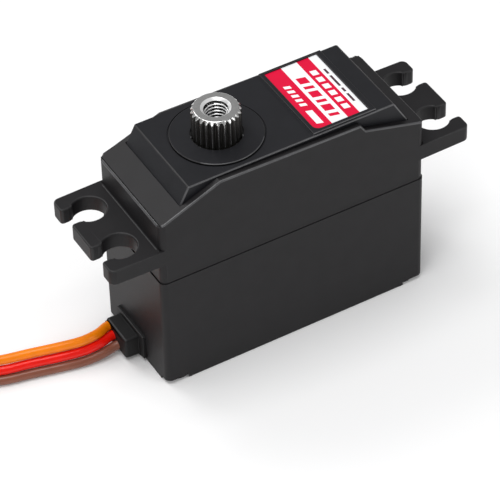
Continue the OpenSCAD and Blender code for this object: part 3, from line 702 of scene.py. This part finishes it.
def make_output_shaft():
    top = SHAFT_HI.z
    bm = bmesh.new()
    grid = []
    for row in shaft_rows():
        ring = []
        for c, (r, z) in enumerate(row):
            a = 2 * math.pi * (c - 3) / COLUMNS
            ring.append(bm.verts.new(
                Vector((AXIS_X + r * math.cos(a), r * math.sin(a), z)) * MM))
        grid.append(ring)
    for a, b in zip(grid, grid[1:]):
        for c in range(COLUMNS):
            d = (c + 1) % COLUMNS
            bm.faces.new((a[c], b[c], b[d], a[d]))
    bm.faces.new(grid[0])
    bm.faces.new(grid[-1][::-1])
    bmesh.ops.recalc_face_normals(bm, faces=bm.faces)
    bm.normal_update()
    for f in bm.faces:
        p = f.calc_center_median() / MM
        r = math.hypot(p.x - AXIS_X, p.y)
        between_teeth = 2.5 < r < ROOT_R + TOOTH_H - 0.03 and 28 < p.z < top - TOOTH_CHAMFER
        collar = r > 2.5 and 25.5 < p.z < SPLINE_FOOT + 0.02
        # in the threaded hole, faces turned down and the thread roots get painted shade, faces
        # turned up a painted highlight
        if r < THREAD_R - 0.005 and p.z < top - MOUTH_DEPTH - 0.01:
            f.material_index = 3 if f.normal.z < 0.25 or r > THREAD_R - 0.1 else 2
        # painted highlight on the mouth's chamfer
        elif r < MOUTH_R - 0.01 and p.z > top - MOUTH_DEPTH - 0.03:
            f.material_index = 2
        # painted shade between the teeth and on the collar
        elif between_teeth or collar:
            f.material_index = 1
    o = new_piece("output_shaft_splined", bm,
                  [STEEL, STEEL_PAINTED_SHADE, STEEL_PAINTED_HIGHLIGHT, THREAD_SHADE], OUTPUT,
                  26)
    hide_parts("output_shaft")


make_output_shaft()

# ------------------------------------------------------------------ label

LABEL_LO, LABEL_HI = box_mm("label")


def make_label():
    """Film in coloured bands across the cover, with plain bars where lettering would be."""
    bm = bmesh.new()
    z = LABEL_HI.z
    y0, y1 = LABEL_LO.y, LABEL_HI.y
    red, white, dark = 0, 1, 2

    def face(corners, mat):
        f = bm.faces.new([bm.verts.new(Vector((x, y, z)) * MM) for x, y in corners])
        f.material_index = mat

    def band(xa, xb, ground, ink, inset, bars, lean):
        """bars are pairs of start and width along Y, and lean shifts their +X side along Y."""
        xi, xj = xa + inset[0], xb - inset[1]
        for lo, hi in ((xa, xi), (xj, xb)):
            face([(lo, y0), (hi, y0), (hi, y1), (lo, y1)], ground)
        last, last_lean = y0, 0
        for start, width in bars:
            a, b = y0 + start, y0 + start + width
            face([(xi, last), (xj, last + last_lean), (xj, a + lean), (xi, a)], ground)
            face([(xi, a), (xj, a + lean), (xj, b + lean), (xi, b)], ink)
            last, last_lean = b, lean
        face([(xi, last), (xj, last + last_lean), (xj, y1), (xi, y1)], ground)

    cuts = [LABEL_LO.x, LABEL_LO.x + 2.3, LABEL_LO.x + 4.45, LABEL_LO.x + 6.05, LABEL_HI.x]
    band(cuts[0], cuts[1], red, white, (0.75, 0.75),
         [(1.0, 2.6), (4.6, 0.5), (5.5, 0.5), (6.4, 0.5), (7.3, 0.5), (8.2, 0.5)], -0.25)
    band(cuts[1], cuts[2], white, red, (0.45, 0.5),
         [(1.3, 0.55), (2.4, 1.2), (4.1, 0.55), (5.2, 1.2), (6.9, 0.55), (8.0, 1.2)], -0.3)
    band(cuts[2], cuts[3], red, white, (0.4, 0.4),
         [(1.6 + 1.4 * k, 0.9) for k in range(6)], -0.15)
    band(cuts[3], cuts[4], white, dark, (0.4, 0.4),
         [(2.2, 1.6), (4.2, 0.8), (5.4, 2.2), (8.0, 1.0)], -0.05)
    bmesh.ops.remove_doubles(bm, verts=bm.verts, dist=0.0005 * MM)
    # give the film its thickness
    rim = [e for e in bm.edges if len(e.link_faces) == 1]
    ext = bmesh.ops.extrude_edge_only(bm, edges=rim)
    down = [v for v in ext["geom"] if isinstance(v, bmesh.types.BMVert)]
    bmesh.ops.translate(bm, verts=down, vec=Vector((0, 0, LABEL_LO.z - z)) * MM)
    bmesh.ops.recalc_face_normals(bm, faces=bm.faces)
    o = new_piece("label_film", bm, [LABEL_RED, LABEL_WHITE, LABEL_DARK], CASE)
    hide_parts("label")


make_label()

# ------------------------------------------------------------------ floor and light


def make_stage():
    bm = bmesh.new()
    bmesh.ops.create_grid(bm, x_segments=1, y_segments=1, size=3)
    mesh = bpy.data.meshes.new("floor")
    bm.to_mesh(mesh)
    bm.free()
    floor = bpy.data.objects.new("floor", mesh)
    bpy.context.scene.collection.objects.link(floor)
    m = bpy.data.materials.new("floor_paper")
    m.use_nodes = True
    nt = m.node_tree
    shader = nt.nodes["Principled BSDF"]
    shader.inputs["Roughness"].default_value = 0.9
    shader.inputs["Specular IOR Level"].default_value = 0.1
    n = nt.nodes.new("ShaderNodeTexNoise")
    n.inputs["Scale"].default_value = 40
    ramp = nt.nodes.new("ShaderNodeValToRGB")
    ramp.color_ramp.elements[0].color = (0.93, 0.93, 0.93, 1)
    ramp.color_ramp.elements[1].color = (0.95, 0.95, 0.95, 1)
    nt.links.new(n.outputs["Fac"], ramp.inputs["Fac"])
    nt.links.new(ramp.outputs["Color"], shader.inputs["Base Color"])
    mesh.materials.append(m)


def area_light(name, place, aim, size, power):
    """Square light of a size in millimetres at a place, turned to its aim."""
    data = bpy.data.lights.new(name, "AREA")
    data.shape = "SQUARE"
    data.size = size * MM
    data.energy = power
    o = bpy.data.objects.new(name, data)
    o.location = Vector(place) * MM
    o.rotation_mode = "QUATERNION"
    o.rotation_quaternion = (Vector(aim) - Vector(place)).to_track_quat("-Z", "Y")
    bpy.context.scene.collection.objects.link(o)


def make_light():
    world = bpy.data.worlds.new("studio")
    world.use_nodes = True
    back = world.node_tree.nodes["Background"]
    back.inputs["Color"].default_value = (0.99, 0.99, 1.0, 1)
    back.inputs["Strength"].default_value = 0.38
    bpy.context.scene.world = world
    area_light("overhead", (-90, 0, 420), (0, 0, 0), 280, 1.0)
    area_light("key", (-300, -260, 300), (0, 0, 12), 200, 0.36)
    area_light("back", (-110, 290, 330), (0, 0, 12), 160, 0.5)
    area_light("fill", (230, -330, 240), (0, 0, 12), 160, 0.42)


make_stage()
make_light()
bpy.context.scene.view_settings.view_transform = "Standard"
